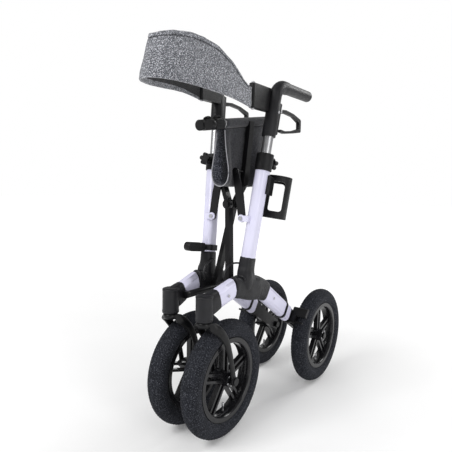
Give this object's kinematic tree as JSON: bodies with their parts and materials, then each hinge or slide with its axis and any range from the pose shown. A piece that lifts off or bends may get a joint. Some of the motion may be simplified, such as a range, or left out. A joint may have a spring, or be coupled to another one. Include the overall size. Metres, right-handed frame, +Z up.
{
  "type": "folding rollator",
  "caption": "All-terrain walking rollator, standing folded: pneumatic wheels, cross brace, cloth seat, padded backrest band, loop brakes, cup holder and bag hook.",
  "frame": {"origin": "on the ground, under the middle of the folded rollator's box", "axes": "+Z up; the user walks behind at +Y and it rolls towards -Y; +X is the user's left"},
  "size_m": [0.264, 0.8384, 0.9789],
  "materials": {
    "tyre": "matte",
    "rim": "gloss",
    "white_paint": "satin",
    "black_metal": "satin",
    "black_plastic": "matte",
    "steel": "brushed",
    "aluminium": "satin",
    "grip": "matte",
    "cable": "satin",
    "fabric": "matte"
  },
  "bodies": {
    "left_frame": {"left_upright_tube": "white_paint", "left_hub_casting": "black_metal", "left_front_leg": "white_paint", "left_rear_leg": "white_paint", "left_rear_dropout": "black_metal", "left_caster_housing": "black_metal", "left_height_collar": "black_plastic", "left_rear_axle": "steel", "left_pivot_brackets": "black_metal", "left_brake_cable": "cable", "left_frame_screws": "steel", "cup_holder": "black_plastic"},
    "right_frame": {"right_upright_tube": "white_paint", "right_hub_casting": "black_metal", "right_front_leg": "white_paint", "right_rear_leg": "white_paint", "right_rear_dropout": "black_metal", "right_caster_housing": "black_metal", "right_height_collar": "black_plastic", "right_rear_axle": "steel", "right_pivot_brackets": "black_metal", "right_brake_cable": "cable", "right_frame_screws": "steel", "right_hook_clamp": "black_plastic"},
    "left_handle": {"left_inner_tube": "aluminium", "left_handle": "grip", "left_backrest_bracket": "black_plastic"},
    "left_brake_lever": {"left_brake_lever": "black_plastic"},
    "left_height_knob": {"left_height_knob": "black_plastic"},
    "left_brake_arm": {"left_brake_arm": "black_plastic"},
    "left_caster": {"left_fork": "black_metal", "left_caster_axle": "steel"},
    "left_front_wheel": {"left_front_tyre": "tyre", "left_front_rim": "rim"},
    "left_rear_wheel": {"left_rear_tyre": "tyre", "left_rear_rim": "rim"},
    "left_link": {"left_fold_link": "black_metal"},
    "right_handle": {"right_inner_tube": "aluminium", "right_handle": "grip", "right_backrest_bracket": "black_plastic"},
    "right_brake_lever": {"right_brake_lever": "black_plastic"},
    "right_height_knob": {"right_height_knob": "black_plastic"},
    "right_brake_arm": {"right_brake_arm": "black_plastic"},
    "right_caster": {"right_fork": "black_metal", "right_caster_axle": "steel"},
    "right_front_wheel": {"right_front_tyre": "tyre", "right_front_rim": "rim"},
    "right_rear_wheel": {"right_rear_tyre": "tyre", "right_rear_rim": "rim"},
    "right_link": {"right_fold_link": "black_metal"},
    "arm_a": {"brace_arm_front": "black_metal", "seat_rail_right": "black_metal", "centre_pivot_bolt": "steel"},
    "arm_b": {"brace_arm_rear": "black_metal", "seat_rail_left": "black_metal"},
    "seat_left": {"seat_cloth_left": "fabric"},
    "seat_right": {"seat_cloth_right": "fabric"},
    "band_left": {"backrest_band_left": "fabric"},
    "band_right": {"backrest_band_right": "fabric"},
    "hook": {"right_hook": "black_plastic"}
  },
  "joints": [
    {"name": "fold", "type": "hinge", "parent": "left_frame", "child": "arm_a", "pos_m": [0.033, -0.119, 0.365], "axis": [0, -1, 0], "range_deg": [0, 46]},
    {"name": "brace_cross", "type": "hinge", "parent": "arm_a", "child": "arm_b", "pos_m": [0, -0.097, 0.596], "axis": [0, 1, 0], "range_deg": [0, 92]},
    {"name": "right_frame_pivot", "type": "hinge", "parent": "arm_b", "child": "right_frame", "pos_m": [-0.033, -0.119, 0.365], "axis": [0, -1, 0], "range_deg": [0, 46]},
    {"name": "left_link_pivot", "type": "hinge", "parent": "left_frame", "child": "left_link", "pos_m": [0.049, -0.1165, 0.561], "axis": [0, -1, 0], "range_deg": [0, 86.4]},
    {"name": "right_link_pivot", "type": "hinge", "parent": "right_frame", "child": "right_link", "pos_m": [-0.049, -0.1165, 0.561], "axis": [0, 1, 0], "range_deg": [0, 86.4]},
    {"name": "seat_left_turn", "type": "hinge", "parent": "arm_b", "child": "seat_left", "pos_m": [0.015, -0.05, 0.8202], "axis": [0.0614, 0.9912, 0.1173], "range_deg": [0, 25], "deforming": ["seat_cloth_left"]},
    {"name": "seat_right_turn", "type": "hinge", "parent": "seat_left", "child": "seat_right", "pos_m": [0, -0.051, 0.6435], "axis": [0, -1, -0.0043], "range_deg": [0, 141.5], "deforming": ["seat_cloth_right"]},
    {"name": "band_left_turn", "type": "hinge", "parent": "left_handle", "child": "band_left", "pos_m": [0.084, -0.146, 0.87], "axis": [0, 0, -1], "range_deg": [0, 40.4]},
    {"name": "band_right_turn", "type": "hinge", "parent": "band_left", "child": "band_right", "pos_m": [0, -0.418, 0.91], "axis": [0, 0, 1], "range_deg": [0, 80.8]},
    {"name": "left_height", "type": "slide", "parent": "left_frame", "child": "left_handle", "axis": [0.0653, 0.1545, 0.9858], "range_m": [-0.044, 0.053]},
    {"name": "left_lever_pull", "type": "hinge", "parent": "left_handle", "child": "left_brake_lever", "pos_m": [0.09255, -0.022, 0.846], "axis": [1, 0, 0], "range_deg": [0, 14], "stiffness_Nm_per_rad": 0.9},
    {"name": "left_brake_apply", "type": "hinge", "parent": "left_frame", "child": "left_brake_arm", "pos_m": [0.1, 0.125, 0.228], "axis": [-1, 0, 0], "range_deg": [0, 3.6]},
    {"name": "left_knob_turn", "type": "hinge", "parent": "left_frame", "child": "left_height_knob", "pos_m": [0.08359, -0.04059, 0.70766], "axis": [-0.0102, 0.988, -0.1541], "range_deg": [0, 360]},
    {"name": "left_caster_swivel", "type": "hinge", "parent": "left_frame", "child": "left_caster", "pos_m": [0.055, -0.275, 0.34], "axis": [0, 0, -1], "range_deg": [0, 180]},
    {"name": "left_front_spin", "type": "hinge", "parent": "left_caster", "child": "left_front_wheel", "pos_m": [0.055, -0.192, 0.1525], "axis": [1, 0, 0], "continuous": true},
    {"name": "left_rear_spin", "type": "hinge", "parent": "left_frame", "child": "left_rear_wheel", "pos_m": [0.102, 0.268, 0.1525], "axis": [1, 0, 0], "continuous": true},
    {"name": "right_height", "type": "slide", "parent": "right_frame", "child": "right_handle", "axis": [-0.0653, 0.1545, 0.9858], "range_m": [-0.044, 0.053]},
    {"name": "right_lever_pull", "type": "hinge", "parent": "right_handle", "child": "right_brake_lever", "pos_m": [-0.09496, -0.01628, 0.88248], "axis": [1, 0, 0], "range_deg": [0, 14], "stiffness_Nm_per_rad": 0.9},
    {"name": "right_brake_apply", "type": "hinge", "parent": "right_frame", "child": "right_brake_arm", "pos_m": [-0.1, 0.125, 0.228], "axis": [-1, 0, 0], "range_deg": [0, 3.6]},
    {"name": "right_knob_turn", "type": "hinge", "parent": "right_frame", "child": "right_height_knob", "pos_m": [-0.08421, -0.09987, 0.71691], "axis": [-0.0102, -0.988, 0.1541], "range_deg": [0, 360]},
    {"name": "right_caster_swivel", "type": "hinge", "parent": "right_frame", "child": "right_caster", "pos_m": [-0.055, -0.275, 0.34], "axis": [0, 0, 1], "range_deg": [0, 180]},
    {"name": "right_front_spin", "type": "hinge", "parent": "right_caster", "child": "right_front_wheel", "pos_m": [-0.055, -0.192, 0.1525], "axis": [1, 0, 0], "continuous": true},
    {"name": "right_rear_spin", "type": "hinge", "parent": "right_frame", "child": "right_rear_wheel", "pos_m": [-0.102, 0.268, 0.1525], "axis": [1, 0, 0], "continuous": true},
    {"name": "hook_fold", "type": "hinge", "parent": "right_frame", "child": "hook", "pos_m": [-0.06822, -0.14478, 0.47548], "axis": [-1, 0, 0], "range_deg": [0, 90]}
  ],
  "couplings": [
    {"joint": "brace_cross", "follows": "fold", "ratio": 2},
    {"joint": "right_frame_pivot", "follows": "fold", "ratio": 1},
    {"joint": "left_link_pivot", "follows": "fold", "ratio": 1.8767},
    {"joint": "right_link_pivot", "follows": "fold", "ratio": 1.8767},
    {"joint": "seat_left_turn", "follows": "fold", "ratio": 0.54091},
    {"joint": "seat_right_turn", "follows": "fold", "ratio": 3.0729},
    {"joint": "band_left_turn", "follows": "fold", "ratio": 0.87689},
    {"joint": "band_right_turn", "follows": "fold", "ratio": 1.7538},
    {"joint": "left_brake_apply", "follows": "left_lever_pull", "ratio": 0.25},
    {"joint": "right_brake_apply", "follows": "right_lever_pull", "ratio": 0.25},
    {"joint": "right_height", "follows": "left_height", "ratio": 1}
  ]
}
